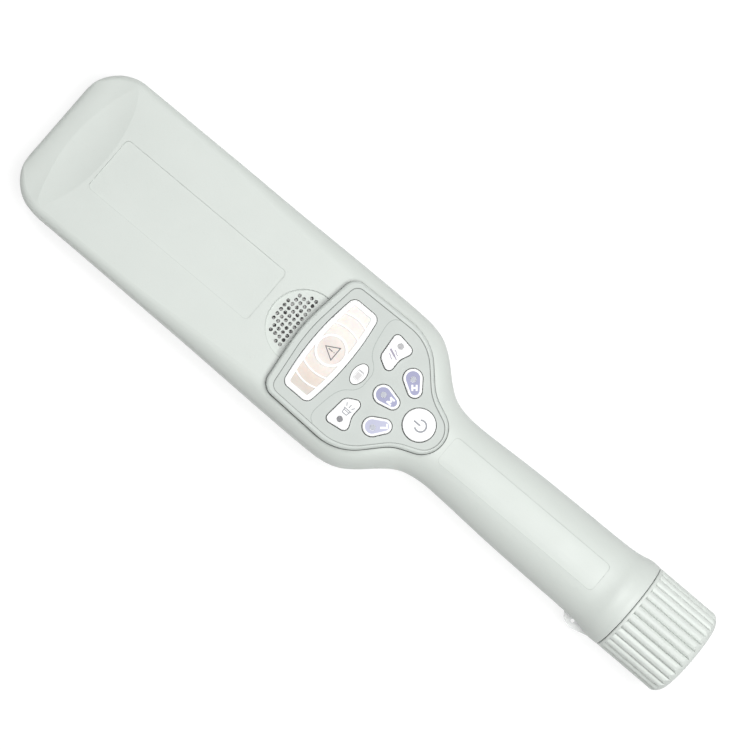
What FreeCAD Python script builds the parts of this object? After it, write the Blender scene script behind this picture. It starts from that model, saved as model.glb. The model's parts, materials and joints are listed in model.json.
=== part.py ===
import FreeCAD, Part
import math
import os

import Sketcher
from FreeCAD import Placement, Rotation, Vector

# Hand-held scanner wand, lying on its back. Millimetres. +X runs to the paddle tip, +Z out of the keypad.
# The origin is at the centre of the whole, on the surface that it lies on.

os.makedirs("parts", exist_ok=True)
doc = FreeCAD.newDocument("ScannerWand")

SIZES = {
    # whole
    "half_length": 205.0, "wall": 2.4, "parting_gap": 0.4, "seat_gap": 0.2,
    # paddle and handle
    "paddle_half_width": 42.4, "tip_radius": 22.3, "tip_top": 21.0, "neck_half_width": 19.2,
    "grip_half_width": 22.0, "collar_radius": 24.5, "collar_face": -165.0, "axis_height": 24.5,
    # recesses in the upper shell
    "label_depth": 0.5, "label_near": 68.0, "label_far": 171.5, "label_half_width": 15.5,
    "label_corner": 2.5,
    "grip_depth": 0.35, "grip_recess_near": -47.0, "grip_recess_far": -145.0, "grip_recess_half_width": 8.0,
    "dish_depth": 1.2, "dish_radius": 19.0, "dish_x": 44.5, "hole_radius": 0.97, "hole_pitch": 2.73,
    "first_hole_x": 58.9,
    "screen_radius": 15.4, "screen_thick": 0.35, "screen_to_panel": 0.6,
    "scoop_x": 184.0, "scoop_depth": 0.9, "scoop_length": 30.0, "scoop_width": 84.0, "scoop_drop": 12.0,
    # keypad panel, heights above the surface
    "bezel_base": 34.6, "bezel_top": 41.8, "bezel_width": 2.7, "bezel_round": 1.5, "bezel_ledge": 1.3,
    "plate_shift": -1.2,
    "plate_base": 39.2, "plate_top": 41.0, "frame_base": 38.0, "frame_top": 41.7, "window_base": 38.4,
    "window_top": 41.1, "frame_border": 2.8, "divider_width": 0.9, "frame_gap": 0.3,
    "dial_x": 26.8, "dial_outer": 8.2, "dial_inner": 6.95, "battery_x": 8.9, "battery_half_width": 3.45,
    "battery_half_length": 5.65, "battery_end_radius": 2.4,
    # keys
    "key_top": 42.3, "key_gap": 0.4, "key_round": 0.55, "flange_base": 36.9, "flange_top": 38.2,
    "flange_reach": 0.9, "stem_base": 36.0, "stem_radius": 1.7, "inlay_depth": 0.45, "inlay_border": 1.25,
    "lamp_groove": 0.25, "lamp_groove_depth": 0.6,
    "power_x": -29.4, "power_radius": 8.2,
    # electronics
    "board_base": 28.6, "board_thick": 1.6, "board_front": 37.0, "board_inset": 5.6, "switch_side": 6.0,
    "switch_height": 3.1, "plunger_height": 1.6, "led_height": 1.1, "speaker_x": 52.0,
    "speaker_radius": 13.5, "speaker_base": 24.4, "speaker_top": 31.0, "magnet_radius": 6.5,
    "magnet_height": 4.0,
    # coils
    "former_base": 7.0, "former_top": 15.0, "coil_base": 9.0, "coil_top": 13.0, "coil_depth": 3.0,
    # batteries
    "tube_radius": 16.2, "tube_bore": 15.2, "tube_front": -110.0, "neck_radius": 18.4, "neck_end": -178.5,
    "flange_radius": 20.4, "cell_radius": 7.2, "cell_length": 49.5, "cell_offset": 7.35,
    "cell_front": -115.4, "nub_radius": 2.7, "nub_length": 1.0,
    # screw thread and cap
    "thread_pitch": 4.0, "thread_depth": 1.4, "thread_root_width": 1.7, "thread_crest_width": 0.9,
    "cap_face": -165.35, "cap_radius": 24.3, "cap_bore": 20.25, "cap_band": 1.6, "cap_ribs": 30,
    "rib_radius": 2.6, "rib_centre": 21.75, "cap_end_wall": 2.6, "cap_edge": 4.8, "cap_dome": 1.6,
    "hub_radius": 5.0, "hub_clearance": 0.05, "seal_inner": 20.6, "seal_outer": 22.6,
    "seal_thick": 0.7, "seal_sunk": 0.45,
    # strap eyelet, low on the +Y side of the grip
    "eyelet_x": -150.2, "eyelet_y": 22.9, "eyelet_hole": 1.0, "eyelet_base": 13.0, "eyelet_top": 15.2,
    # screws
    "post_radius": 4.4, "screw_radius": 1.45, "screw_hole": 1.5, "head_radius": 2.9, "head_height": 1.9,
}

sheet = doc.addObject("Spreadsheet::Sheet", "Sizes")
for row, (alias, value) in enumerate(SIZES.items(), start=1):
    sheet.set("A%d" % row, alias)
    sheet.set("B%d" % row, repr(value))
    sheet.setAlias("B%d" % row, alias)
doc.recompute()


def size(alias):
    """The sheet's value, for shapes worked out in code."""
    return float(sheet.get(alias))


def bound(rule):
    """An expression on the sheet: words are aliases, the rest is arithmetic."""
    out = ""
    word = ""
    for letter in rule + " ":
        if letter.isalpha() or letter == "_":
            word += letter
            continue
        out += ("Sizes." + word) if word else ""
        word = ""
        out += letter
    return out.strip()


def bind(item, **rules):
    for prop, rule in rules.items():
        item.setExpression(prop, bound(str(rule)))
    return item


def place(item, x=0.0, y=0.0, z=0.0, rotation=None):
    item.Placement = Placement(Vector(x, y, z), rotation or Rotation())
    return item


TO_X = Rotation(Vector(0, 1, 0), 90)
TO_MINUS_X = Rotation(Vector(0, 1, 0), -90)


# ---------------------------------------------------------------- building blocks

def computed(name, shape, placement=None):
    item = doc.addObject("Part::Feature", name)
    item.Shape = shape
    item.Placement = placement or Placement()
    return item


def cylinder(name, radius, height, x=0.0, y=0.0, z=0.0, rotation=None):
    item = bind(doc.addObject("Part::Cylinder", name), Radius=radius, Height=height)
    return place(item, x, y, z, rotation)


def block(name, length, width, height, x, y, z):
    """A box centred on x and y, standing on z."""
    item = bind(doc.addObject("Part::Box", name), Length=length, Width=width, Height=height)
    doc.recompute([item])
    return place(item, x - item.Length.Value / 2, y - item.Width.Value / 2, z)


def joined(name, items):
    if len(items) == 1:
        return items[0]
    item = doc.addObject("Part::MultiFuse", name)
    item.Shapes = items
    return item


def grouped(name, items):
    item = doc.addObject("Part::Compound", name)
    item.Links = items
    return item


def minus(name, base, tool):
    item = doc.addObject("Part::Cut", name)
    item.Base = base
    item.Tool = tool
    return item


def shared(name, base, tool):
    item = doc.addObject("Part::Common", name)
    item.Base = base
    item.Tool = tool
    return item


def ring(name, outer, inner, height, x=0.0, y=0.0, z=0.0, rotation=None):
    return minus(name, cylinder(name + "_outer", outer, height, x, y, z, rotation),
                 cylinder(name + "_inner", inner, height, x, y, z, rotation))


def drawing(name, curves):
    """A sketch on the ground plane holding one closed outline."""
    sketch = doc.addObject("Sketcher::SketchObject", name)
    sketch.addGeometry(curves, False)
    return sketch


def disc(name, radius, x=0.0, y=0.0):
    """A sketch of one circle, its radius bound to the sheet."""
    centre = Vector(x, y, 0)
    sketch = drawing(name, [Part.Circle(centre, Vector(0, 0, 1), 1.0)])
    sketch.addConstraint(Sketcher.Constraint("Radius", 0, 1.0))
    return bind(sketch, **{"Constraints[0]": radius})


def widened(name, sketch, reach):
    """The same outline moved outward by reach (inward when it is negative)."""
    item = bind(doc.addObject("Part::Offset2D", name), Value=reach)
    item.Source = sketch
    item.Join = 0
    return item


def raised(name, outline, low, high):
    """A prism standing on an outline, from the height low to the height high."""
    item = doc.addObject("Part::Extrusion", name)
    item.Base = outline
    item.DirMode = "Custom"
    item.Dir = Vector(0, 0, 1)
    item.Solid = True
    return bind(item, LengthFwd=high, LengthRev="0 - (" + low + ")")


def rounded(name, base, radius, wanted):
    """Edges for which wanted(edge) is true get a fillet of the radius named in the sheet."""
    doc.recompute()
    item = doc.addObject("Part::Fillet", name)
    item.Base = base
    amount = size(radius)
    item.Edges = [(number, amount, amount) for number, edge in enumerate(base.Shape.Edges, start=1)
                  if wanted(edge)]
    return item


def at_height(height):
    def wanted(edge):
        box = edge.BoundBox
        return abs(box.ZMin - height) < 1e-4 and abs(box.ZMax - height) < 1e-4
    return wanted


# ---------------------------------------------------------------- outlines

def polar(x, y, radius, degrees):
    angle = math.radians(degrees)
    return Vector(x + radius * math.cos(angle), y + radius * math.sin(angle), 0)


def arc(x, y, radius, start, end):
    middle = (start + end) / 2
    return Part.Arc(polar(x, y, radius, start), polar(x, y, radius, middle), polar(x, y, radius, end))


def linked(arcs):
    """Arcs in order, joined by straight lines."""
    curves = []
    for number, piece in enumerate(arcs):
        following = arcs[(number + 1) % len(arcs)]
        curves.append(piece)
        start, end = piece.EndPoint, following.StartPoint
        if (end - start).Length > 1e-6:
            curves.append(Part.LineSegment(start, end))
    return curves


def round_box(near, far, half_width, corner):
    """A rectangle from near to far along X, with round corners."""
    low, high = near + corner, far - corner
    side = half_width - corner
    return linked([arc(high, side, corner, 0, 90), arc(low, side, corner, 90, 180),
                   arc(low, -side, corner, 180, 270), arc(high, -side, corner, 270, 360)])


def egg(wide, wide_radius, narrow, narrow_radius):
    """Two circles wrapped by their outer tangents."""
    run = math.hypot(narrow[0] - wide[0], narrow[1] - wide[1])
    aim = math.degrees(math.atan2(narrow[1] - wide[1], narrow[0] - wide[0]))
    lean = math.degrees(math.acos((wide_radius - narrow_radius) / run))
    return linked([arc(wide[0], wide[1], wide_radius, aim + lean, aim + 360 - lean),
                   arc(narrow[0], narrow[1], narrow_radius, aim - lean, aim + lean)])


def rounded_polygon(corners):
    """Straight sides with a tangent arc at each corner, given as x, y and the arc's radius."""
    points = [Vector(x, y, 0) for x, y, _ in corners]
    arcs = []
    for number, (_, _, radius) in enumerate(corners):
        corner = points[number]
        back = (points[number - 1] - corner).normalize()
        ahead = (points[(number + 1) % len(points)] - corner).normalize()
        half_turn = (math.pi - back.getAngle(ahead)) / 2
        reach = radius * math.tan(half_turn)
        inward = (back + ahead).normalize()
        crown = corner + inward * (radius / math.cos(half_turn) - radius)
        arcs.append(Part.Arc(corner + back * reach, crown, corner + ahead * reach))
    return linked(arcs)


def both_sides(half):
    """A closed outline from its +Y half."""
    on_line = [corner for corner in half if corner[1] == 0]
    off_line = [corner for corner in half if corner[1] != 0]
    return on_line + off_line + mirrored(off_line)


def mirrored(corners):
    """The mirror image across the long plane, in the same turning order."""
    return [(x, -y, radius) for x, y, radius in reversed(corners)]


# The panel is broad beside the display and narrows to a round nose at the power key.
PANEL_HALF = [(45.9, 0, 90), (41.5, 35.3, 7.5), (-7.0, 36.6, 28), (-26.0, 16.4, 22), (-44.2, 8.8, 13)]

# The alarm key; the vibration key is its mirror image.
SIDE_KEY = [(8.1, 27.8, 2.4), (-5.1, 25.8, 2.6), (-1.6, 18.2, 8), (-1.9, 8.6, 2.4), (6.7, 13.2, 4)]

panel_outline = drawing("panel_outline", rounded_polygon(both_sides(PANEL_HALF)))
# The plate inside the bezel sits nearer the nose, so the bezel is broader beside the grille.
plate_outline = drawing("plate_outline", rounded_polygon(both_sides(
    [(x + size("plate_shift"), y, radius) for x, y, radius in PANEL_HALF])))
label_outline = drawing("label_outline", round_box(size("label_near"), size("label_far"),
                                                   size("label_half_width"), size("label_corner")))
grip_outline = drawing("grip_outline", round_box(size("grip_recess_far"), size("grip_recess_near"),
                                                 size("grip_recess_half_width"), size("label_corner")))


def oval(x, half_length, half_width, end_radius):
    """Bowed long sides and round ends in tangent arcs, its length along Y."""
    run = half_length - end_radius
    side = (half_width ** 2 + run ** 2 - end_radius ** 2) / (2 * (half_width - end_radius))
    lean = math.degrees(math.asin(run / (side - end_radius)))
    shift = half_width - side
    return linked([arc(x + shift, 0, side, -lean, lean), arc(x, run, end_radius, lean, 180 - lean),
                   arc(x - shift, 0, side, 180 - lean, 180 + lean),
                   arc(x, -run, end_radius, 180 + lean, 360 - lean)])


def barrel():
    """The display frame: bowed long sides running smoothly into round corners, and flat ends."""
    middle, bow, end, length, corner = size("dial_x") + 0.2, 10.45, 7.75, 27.2, 3.8
    radius = (length ** 2 + (bow - end) ** 2) / (2 * (bow - end))
    sweep = math.asin((length - corner) / (radius - corner))
    degrees = math.degrees(sweep)
    offset = bow - radius
    reach = offset + (radius - corner) * math.cos(sweep)
    side = length - corner
    return linked([arc(middle + offset, 0, radius, -degrees, degrees),
                   arc(middle + reach, side, corner, degrees, 90),
                   arc(middle - reach, side, corner, 90, 180 - degrees),
                   arc(middle - offset, 0, radius, 180 - degrees, 180 + degrees),
                   arc(middle - reach, -side, corner, 180 + degrees, 270),
                   arc(middle + reach, -side, corner, 270, 360 - degrees)])


barrel_outline = drawing("barrel_outline", barrel())
eyelet_outline = drawing("eyelet_outline", rounded_polygon([
    (-141.5, 18.4, 0.4), (-146.0, 24.8, 3.2), (-151.4, 26.5, 1.2), (-161.8, 23.6, 0.4),
    (-161.8, 18.4, 0.4)]))


# ---------------------------------------------------------------- the outer form

def cross_section(x, half_width, top, bottom, top_round, bottom_round):
    """A closed wire across the wand: flat sides, top and bottom joined by quarter arcs."""
    def corner(y, z, radius, start):
        points = []
        for degrees in (start, start + 45, start + 90):
            angle = math.radians(degrees)
            points.append(Vector(x, y + radius * math.cos(angle), z + radius * math.sin(angle)))
        return Part.Arc(*points)

    upper, lower = half_width - top_round, half_width - bottom_round
    arcs = [corner(upper, top - top_round, top_round, 0), corner(-upper, top - top_round, top_round, 90),
            corner(-lower, bottom + bottom_round, bottom_round, 180),
            corner(lower, bottom + bottom_round, bottom_round, 270)]
    return Part.Wire([curve.toShape() for curve in linked(arcs)])


def stations(inset):
    """Cross sections from the tip to the collar, all drawn in by the inset."""
    half, neck, grip = size("paddle_half_width"), size("neck_half_width"), size("grip_half_width")
    centre, collar = size("axis_height"), size("collar_radius")
    radius, top, edge = size("tip_radius") - inset, size("tip_top") - inset, 5.0
    rows = []
    # The paddle's underside is drawn a little low and trimmed flat afterwards.
    spare = 0.4
    # The tip: the plan corners follow tip_radius, the top and bottom edges a smaller radius.
    for degrees in (0, 15, 30, 45, 60, 75, 90):
        depth = radius * (1 - math.cos(math.radians(degrees)))
        width = half - inset - radius * (1 - math.sin(math.radians(degrees)))
        drop = edge - math.sqrt(edge ** 2 - (edge - min(depth, edge)) ** 2)
        roundness = 1.2 + 2.8 * min(depth / edge, 1)
        rows.append((size("half_length") - inset - depth, width, top + 0.2 * depth - drop,
                     inset + drop - spare, roundness, roundness))
    # The paddle rises to the panel, then the shoulder draws in to the round handle.
    for x, width, height, low, top_round, bottom_round in (
            (178, half, 25.9, 0, 4.2, 4.2), (160, half, 28.1, 0, 4.4, 4.4),
            (135, half + 0.1, 30.3, 0, 5.0, 4.8),
            (110, half + 0.25, 32.3, 0, 6.0, 5.4), (85, half + 0.4, 34.2, 0, 8.0, 7.0),
            (62, half + 0.8, 36.2, 0, 9.6, 8.6), (42, half + 1.1, 37.8, 0, 11.2, 9.6),
            (20, half + 1.3, 38.9, 0, 12.2, 10.3), (6, half + 1.2, 39.3, 0, 12.8, 10.7),
            (-3, half + 0.7, 39.5, 0.2, 13.2, 11.2), (-11, half - 1.3, 39.6, 0.9, 13.6, 12.2),
            (-19, half - 6.2, 39.7, 2.0, 14.0, 13.4), (-27, half - 13.4, 39.8, 3.8, 14.8, 14.6),
            (-35, neck + 3.8, 39.9, 5.4, 15.8, 15.6), (-44, neck + 1.1, 40.2, 6.4, 16.4, 16.3),
            (-58, neck + 0.6, 41.0, 6.6, 17.0, 17.0), (-80, neck + 1.6, 42.2, 6.0, 17.9, 17.9),
            (-105, neck + 2.4, 43.4, 5.0, 19.0, 19.0), (-130, grip, 44.3, 4.2, 19.9, 19.9),
            (-147, grip + 0.4, 44.8, 3.5, 20.4, 20.4)):
        rows.append((x, width - inset, height - inset, low + inset - spare, max(top_round - inset, 1.5),
                     max(bottom_round - inset, 1.5)))
    # The collar flares out to the cap's radius.
    for x, drop in ((-154, 1.4), (-158, 0.45), (-161, 0.0), (size("collar_face") + inset, 0.2)):
        reach = collar - drop
        rows.append((x, reach - inset, centre + reach - inset, centre - reach + inset,
                     reach - inset - 0.3, reach - inset - 0.3))
    return rows


def form(name, inset):
    """A smooth body through the stations."""
    wires = [cross_section(*row) for row in stations(inset)]
    degree = 2
    whole = Part.makeLoft(wires, True, False, False, degree)
    # The underside is trimmed to a true plane.
    return computed(name, whole.common(Part.makeBox(520, 120, 80, Vector(-260, -60, max(inset, 0)))))


outer_form = form("outer_form", 0.0)
inner_form = form("inner_form", size("wall"))
doc.recompute()


def halves(name, above):
    """A block over or under the sloping parting plane, which runs from the tip's to the collar's middle."""
    tip, back = size("tip_top") / 2, size("axis_height")
    slope = math.degrees(math.atan2(back - tip, size("half_length") - size("collar_face")))
    item = doc.addObject("Part::Box", name)
    item.Length, item.Width, item.Height = 520, 120, 80
    shift = size("parting_gap") / 2 if above else -80 - size("parting_gap") / 2
    turn = Rotation(Vector(0, 1, 0), slope)
    corner = Vector(size("collar_face"), 0, back) + turn.multVec(Vector(-60, -60, shift))
    item.Placement = Placement(corner, turn)
    return item


# Case screws: x, y, height of the head's seat, and how far the hole runs above it.
SCREW_PLACES = ((6, 38, 4.4, 20), (6, -38, 4.4, 20), (66, 38, 4.4, 20), (66, -38, 4.4, 20),
                (194, 0, 4.4, 14), (-58, 0, 11, 20))
BOARD_SCREWS = ((27, 28.2), (27, -28.2), (-14, 20.0), (-14, -20.0))


def recess(name, outline, depth, inset_form):
    """What a recess of even depth takes away: the prism over the outline, above the lowered form."""
    column = raised(name + "_column", outline, "0", "60")
    return minus(name, column, inset_form)


def scoop():
    """A shallow dip near the tip, cut by a flattened ball."""
    ball = bind(doc.addObject("Part::Ellipsoid", "scoop"), Radius1="scoop_drop", Radius2="scoop_length",
                Radius3="scoop_width")
    # The dip's floor lies scoop_depth under the top face, whose height there is about 25 mm.
    surface = 25.1
    lean = Rotation(Vector(0, 1, 0), 10)
    return place(ball, size("scoop_x"), 0, surface - size("scoop_depth") + size("scoop_drop"), lean)


def grille():
    """Sound holes on a square grid; the rows get shorter toward both sides of the dish."""
    columns = [size("first_hole_x") - size("hole_pitch") * n for n in range(5)]
    holes = []
    for row in range(-5, 6):
        first = 0 if abs(row) <= 2 else 1 if abs(row) <= 4 else 3
        for x in columns[first:]:
            holes.append(cylinder("sound_hole_%d_%d" % (row + 5, x), "hole_radius", "20", x,
                                  row * size("hole_pitch"), 25))
    return grouped("sound_holes", holes)


def collar_cuts(name):
    """The hole for the battery tube's neck, and the groove round it that holds the seal."""
    face, axis = size("collar_face"), size("axis_height")
    hole = cylinder(name + "_neck_hole", "neck_radius + 0.1", "40", face + 20, 0, axis, TO_MINUS_X)
    groove = ring(name + "_seal_groove", "seal_outer + 0.1", "seal_inner - 0.1", "seal_sunk + 1",
                  face + size("seal_sunk"), 0, axis, TO_MINUS_X)
    return hole, groove


def shells():
    posts = joined("screw_posts", [cylinder("screw_post_%d" % n, "post_radius", "60", x, y)
                                   for n, (x, y, _, _) in enumerate(SCREW_PLACES)])
    hollow = minus("hollow_case", outer_form, minus("inner_space", inner_form, posts))
    above, below = halves("above_parting", True), halves("below_parting", False)
    back_hole, groove = collar_cuts("upper")

    # Upper shell: the panel opening, label and grip recesses, the speaker dish with its holes.
    dish_column = disc("dish_outline", "dish_radius", size("dish_x"))
    openings = [
        raised("panel_opening", widened("panel_clear", panel_outline, "seat_gap"), "10", "60"),
        recess("label_recess", label_outline, "label_depth", form("label_form", size("label_depth"))),
        recess("grip_recess", grip_outline, "grip_depth", form("grip_form", size("grip_depth"))),
        recess("dish", dish_column, "dish_depth", form("dish_form", size("dish_depth"))),
        scoop(), grille(), back_hole, groove,
        joined("pilot_holes", [cylinder("pilot_%d" % n, "screw_hole", repr(length), x, y, z)
                               for n, (x, y, z, length) in enumerate(SCREW_PLACES)]),
    ]
    upper = minus("upper_shell", shared("upper_blank", hollow, above), joined("upper_openings", openings))

    # Lower shell: posts for the boards, coil former and speaker, screw wells, the strap slot.
    stands = [cylinder("board_stand_%d" % n, "3.0", "board_base - 1.5", x, y, 1.5)
              for n, (x, y) in enumerate(BOARD_SCREWS)]
    stands += [cylinder("coil_stand_%d%d" % (x, y > 0), "2.6", "former_base - 1.5", x, y, 1.5)
               for x in (84, 182) for y in (-27, 27)]
    stands.append(ring("speaker_stand", "magnet_radius + 1", "magnet_radius - 1.5",
                       "speaker_base - magnet_height - 1.5", size("speaker_x"), 0, 1.5))
    wells = [cylinder("head_well_%d" % n, "head_radius + 0.25", str(z + 1), x, y, -1)
             for n, (x, y, z, _) in enumerate(SCREW_PLACES)]
    wells += [cylinder("shank_hole_%d" % n, "screw_hole", "30", x, y, -1)
              for n, (x, y, _, _) in enumerate(SCREW_PLACES)]
    wells += [cylinder("board_pilot_%d" % n, "1.0", "12", x, y, size("board_base") - 8)
              for n, (x, y) in enumerate(BOARD_SCREWS)]
    wells += [*collar_cuts("lower"),
              raised("strap_slot", widened("strap_slot_outline", eyelet_outline, "0.1"),
                     "eyelet_base - 0.1", "eyelet_top + 0.1")]
    lower = joined("lower_with_stands", [shared("lower_blank", hollow, below)] + stands)
    return upper, minus("lower_shell", lower, joined("lower_openings", wells))


def dust_screen():
    """A thin woven screen against the inner face of the skin, under the sound holes, clear of the bezel."""
    column = raised("screen_column", disc("screen_outline", "screen_radius", size("dish_x") + 5), "10", "60")
    under = form("screen_form", size("wall") + size("screen_thick"))
    panel_side = raised("screen_panel_side", widened("screen_panel_line", panel_outline, "screen_to_panel"),
                        "10", "60")
    return minus("dust_screen", shared("screen_blank", column, inner_form),
                 joined("screen_cuts", [under, panel_side]))


def gasket():
    """A band in the parting gap, set back from the outer face."""
    slab = minus("gasket_low", form("gasket_form", 0.6), halves("gasket_above", True))
    band = minus("gasket_band", minus("gasket_slab", slab, halves("gasket_below", False)), inner_form)
    return minus("case_gasket", band, joined("gasket_cuts", list(collar_cuts("gasket"))))


# ---------------------------------------------------------------- keypad panel

def light_bar():
    """The display: white frame with six bar windows and the round warning window, over a light guide."""
    dial = size("dial_x")

    def dividers(name, low, high):
        """Two bowed bars on each side of the round window."""
        bars = []
        for number, (middle, sag, half_chord) in enumerate(((13.4, 1.8, 8.0), (19.9, 1.6, 7.0))):
            radius = (half_chord ** 2 + sag ** 2) / (2 * sag)
            for side in (1, -1):
                tag = "%s_bar_%d%s" % (name, number, "left" if side < 0 else "right")
                centre = side * (middle - radius)
                outer = raised(tag + "_outer", disc(tag + "_outer_line", "%r + divider_width / 2" % radius,
                                                    dial, centre), low, high)
                inner = raised(tag + "_inner", disc(tag + "_inner_line", "%r - divider_width / 2" % radius,
                                                    dial, centre), low, high)
                keep = block(tag + "_keep", "30", "8", "60", dial, side * (middle - 1), 0)
                bars.append(shared(tag, minus(tag + "_ring", outer, inner), keep))
        return bars

    def insides(name, low, high, reach):
        """What is open inside the frame: its middle less the dividers and the round window's ring."""
        space = raised(name + "_space", widened(name + "_edge", barrel_outline, reach), low, high)
        hub = raised(name + "_hub", disc(name + "_hub_line", "dial_outer", dial), low, high)
        return minus(name, space, joined(name + "_kept", dividers(name, low, high) + [hub]))

    def on_rim(edge):
        corner = edge.Vertexes[0].Point
        foot = Part.Vertex(corner.x, corner.y, 0)
        return at_height(size("frame_top"))(edge) and barrel_outline.Shape.distToShape(foot)[0] < 0.01

    dial_line = disc("dial_line", "dial_inner", dial)
    body = raised("frame_blank", barrel_outline, "frame_base", "frame_top")
    pierced = minus("frame_pierced", body, insides("frame_open", "frame_base - 1", "frame_top + 1",
                                                   "-frame_border"))
    bored = minus("frame_bored", pierced, raised("dial_hole", dial_line, "frame_base - 1", "frame_top + 1"))
    frame = rounded("display_frame", bored, "key_round", on_rim)
    bars = insides("bar_windows", "window_base", "window_top", "-frame_border")
    warning = raised("warning_window", dial_line, "window_base", "window_top")
    blank = raised("guide_blank", widened("guide_edge", barrel_outline, "-1.2"),
                   "board_base + board_thick", "frame_base")
    guide = minus("light_guide", blank, joined("guide_openings", [
        insides("guide_open", "board_base", "frame_base + 1", "-frame_border - 0.6"),
        raised("guide_dial", widened("guide_dial_line", dial_line, "-0.4"), "board_base",
               "frame_base + 1")]))
    return frame, bars, warning, guide


KEYS = {
    # name: outline, place of the plunger under it, place and radius of its lamp lens
    "key_vibrate": (rounded_polygon(mirrored(SIDE_KEY)), (2.4, -18.5), (2.2, -23.4, 1.45)),
    "key_alarm": (rounded_polygon(SIDE_KEY), (2.4, 18.5), (2.0, 22.8, 1.45)),
    "key_high": (egg((-12.4, -15.4), 4.8, (-16.9, -11.4), 3.6), (-14.4, -13.6), (-12.9, -15.1, 1.25)),
    "key_medium": (egg((-6.5, 0), 4.9, (-12.4, 0), 3.5), (-9.2, 0), (-6.7, 0, 1.25)),
    "key_low": (egg((-12.4, 15.4), 4.8, (-16.9, 11.4), 3.6), (-14.4, 13.6), (-12.9, 15.6, 1.25)),
    "key_power": ([Part.Circle(Vector(size("power_x"), 0, 0), Vector(0, 0, 1), size("power_radius"))],
                  (size("power_x"), 0), None),
}
INLAID = ("key_high", "key_medium", "key_low")


def keypad():
    """Key caps with flanges under the plate, their lamp lenses and inlays, and the plate and bezel."""
    made = []
    holes = []
    for name, (outline, (x, y), lamp) in KEYS.items():
        edge = drawing(name + "_outline", outline)
        cap = rounded(name + "_cap", raised(name + "_blank", edge, "flange_base", "key_top"), "key_round",
                      at_height(size("key_top")))
        flange = raised(name + "_flange", widened(name + "_rim", edge, "flange_reach"), "flange_base",
                        "flange_top")
        stem = cylinder(name + "_stem", "stem_radius", "flange_base - stem_base", x, y, size("stem_base"))
        body = joined(name + "_body", [cap, flange, stem])
        openings = []
        if lamp:
            line = disc(name + "_lamp_line", repr(lamp[2]), lamp[0], lamp[1])
            made.append(raised(name.replace("key", "lens"), line, "flange_base", "key_top + 0.12"))
            openings.append(raised(name + "_lamp_hole", line, "flange_base", "key_top + 1"))
            # A narrow groove rings each lens.
            ring_line = widened(name + "_groove_line", line, "lamp_groove")
            openings.append(raised(name + "_lamp_groove", ring_line, "key_top - lamp_groove_depth",
                                   "key_top + 1"))
        if name in INLAID:
            field = widened(name + "_field", edge, "-inlay_border")
            openings.append(raised(name + "_seat", field, "key_top - inlay_depth", "key_top + 1"))
            plate = raised(name + "_inlay_blank", field, "key_top - inlay_depth", "key_top - 0.05")
            made.append(minus(name.replace("key", "inlay"), plate, openings[1]))
        made.append(minus(name, body, joined(name + "_openings", openings)) if openings else body)
        if not openings:
            body.Label = name
        holes.append(raised(name + "_hole", widened(name + "_clear", edge, "key_gap"), "30", "50"))

    battery = drawing("battery_outline", oval(size("battery_x"), size("battery_half_length"),
                                              size("battery_half_width"), size("battery_end_radius")))
    made.append(raised("battery_window", battery, "plate_base", "plate_top + 0.2"))
    holes.append(raised("battery_hole", widened("battery_clear", battery, "key_gap - 0.05"), "30", "50"))
    holes.append(raised("display_hole", widened("display_clear", barrel_outline, "frame_gap"), "30", "50"))

    field = widened("plate_edge", plate_outline, "-bezel_width - 0.1")
    made.append(minus("keypad_plate", raised("plate_blank", field, "plate_base", "plate_top"),
                      joined("plate_holes", holes)))

    outer = rounded("bezel_soft", raised("bezel_blank", panel_outline, "bezel_base", "bezel_top"),
                    "bezel_round", at_height(size("bezel_top")))
    ledge_line = widened("bezel_low_line", plate_outline, "-bezel_width - bezel_ledge")
    ledge = raised("bezel_inside_low", ledge_line, "bezel_base", "plate_base")
    upper = raised("bezel_inside_high", widened("bezel_high_line", plate_outline, "-bezel_width"),
                   "plate_base", "bezel_top + 1")
    made.append(minus("keypad_bezel", outer, joined("bezel_inside", [ledge, upper])))
    return made


# ---------------------------------------------------------------- electronics

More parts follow.
